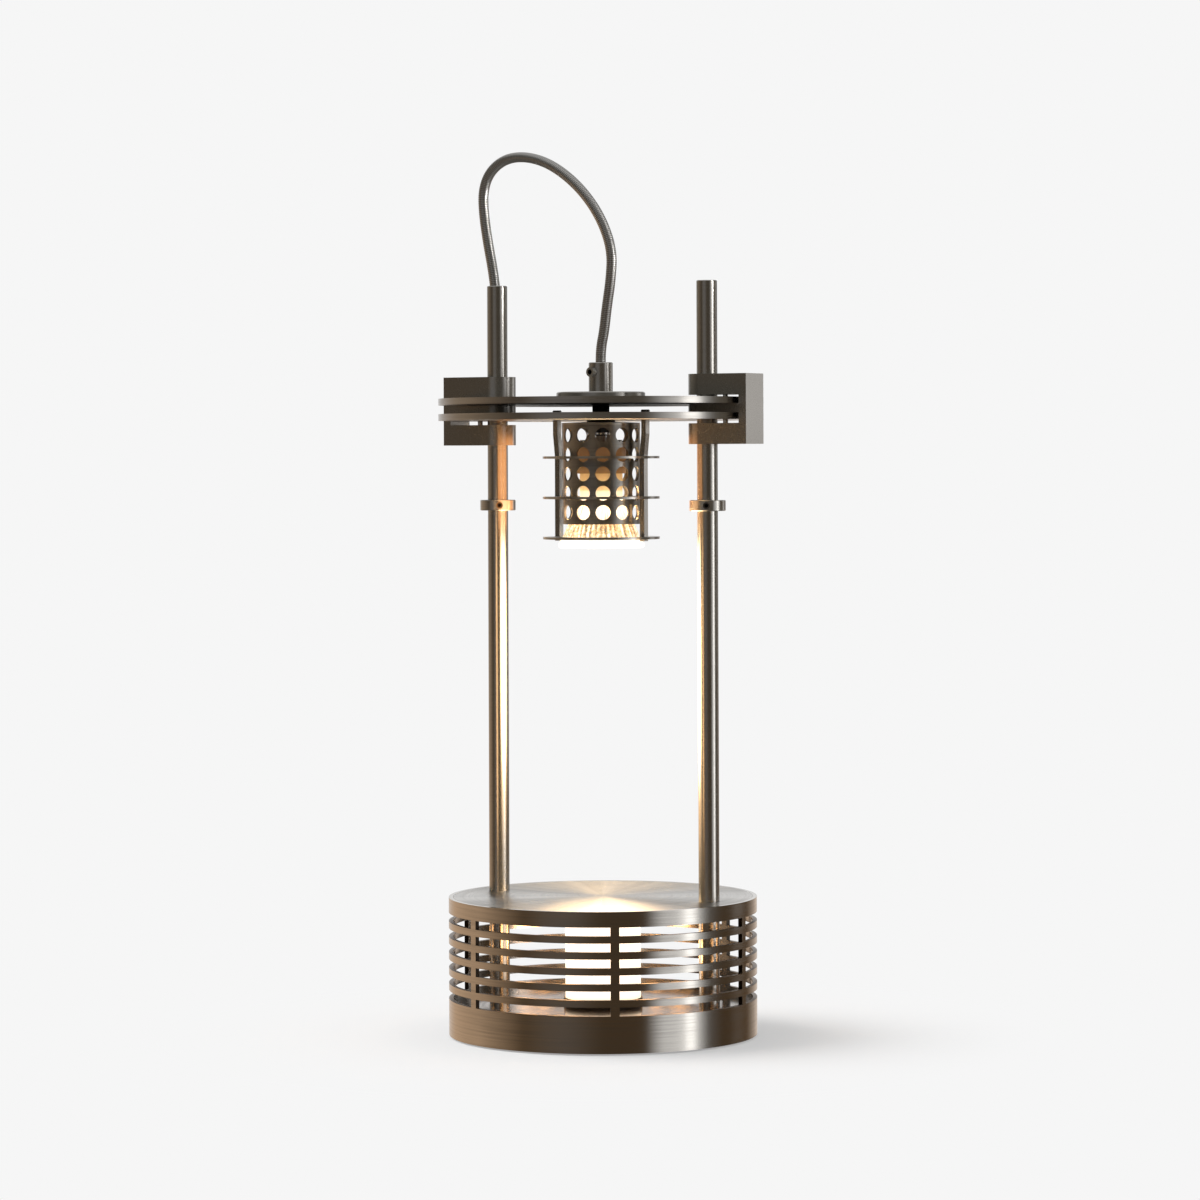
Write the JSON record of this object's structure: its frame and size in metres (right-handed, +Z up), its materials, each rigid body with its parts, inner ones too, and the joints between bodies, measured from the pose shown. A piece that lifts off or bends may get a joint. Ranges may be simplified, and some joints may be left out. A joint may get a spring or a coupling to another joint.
{
  "type": "candle warmer lamp",
  "caption": "Table lamp that warms a candle from above: a round slotted base with a lit column, two posts and a sliding head with round plates and a perforated lamp cage.",
  "frame": {"origin": "middle of the base, on the surface that it stands on", "axes": "+Z up along the posts, +X from the post that carries the cord to the other post, +Y towards the cord inlet at the back"},
  "size_m": [0.2028, 0.19, 0.5179],
  "materials": {
    "brushed_steel": "brushed",
    "bright_steel": "plated",
    "black_metal": "matt black",
    "opal": "opal, lit from inside",
    "black_plastic": "moulded",
    "board": "white solder mask",
    "rubber": "matt",
    "sheath": "braided grey sheath",
    "ceramic": "glazed ceramic",
    "glass": "facetted",
    "brass": "turned"
  },
  "bodies": {
    "base": {"base_diffuser": "opal", "base_floor": "brushed_steel", "base_leds": "board", "base_shell": "brushed_steel", "base_top_plate": "brushed_steel", "bottom_cover": "brushed_steel", "cord_inlet": "black_plastic", "cover_screws": "bright_steel", "cover_standoffs": "bright_steel", "diffuser_holder": "black_metal", "lamp_cord": "sheath", "lead_in_post": "sheath", "led_board": "board", "led_driver": "black_plastic", "left_post": "brushed_steel", "post_bushing": "black_plastic", "post_nuts": "bright_steel", "right_post": "brushed_steel", "rubber_feet": "rubber", "terminal_block": "black_plastic"},
    "head": {"left_block": "brushed_steel", "right_block": "brushed_steel", "left_clamp_screw": "bright_steel", "right_clamp_screw": "bright_steel", "left_lock_screw": "bright_steel", "right_lock_screw": "bright_steel", "lower_plate": "brushed_steel", "upper_plate": "brushed_steel", "threaded_nipple": "black_metal", "hub_flange": "brushed_steel", "cord_hub": "brushed_steel", "hub_screw": "bright_steel", "lead_in_head": "sheath", "cage_washer": "black_metal", "cage_cap": "brushed_steel", "cage_tube": "brushed_steel", "cage_ring_lower": "brushed_steel", "cage_ring_middle": "brushed_steel", "cage_ring_upper": "brushed_steel", "left_strap": "brushed_steel", "right_strap": "brushed_steel", "cage_screws": "bright_steel", "inner_nut": "black_metal", "socket_bracket": "bright_steel", "bracket_screws": "bright_steel", "lamp_socket": "ceramic", "bulb_pins": "brass", "bulb_base": "ceramic", "bulb_capsule": "glass", "bulb_reflector": "glass", "bulb_lens": "glass"},
    "left_collar": {"left_collar": "brushed_steel", "left_collar_screw": "bright_steel"},
    "right_collar": {"right_collar": "brushed_steel", "right_collar_screw": "bright_steel"}
  },
  "joints": [
    {"name": "head_slide", "type": "slide", "parent": "base", "child": "head", "axis": [0, 0, 1], "range_m": [-0.031, 0.05], "deforming": ["lamp_cord"]},
    {"name": "left_collar_slide", "type": "slide", "parent": "base", "child": "left_collar", "axis": [0, 0, 1], "range_m": [-0.22, 0]},
    {"name": "right_collar_slide", "type": "slide", "parent": "base", "child": "right_collar", "axis": [0, 0, 1], "range_m": [-0.22, 0]}
  ]
}
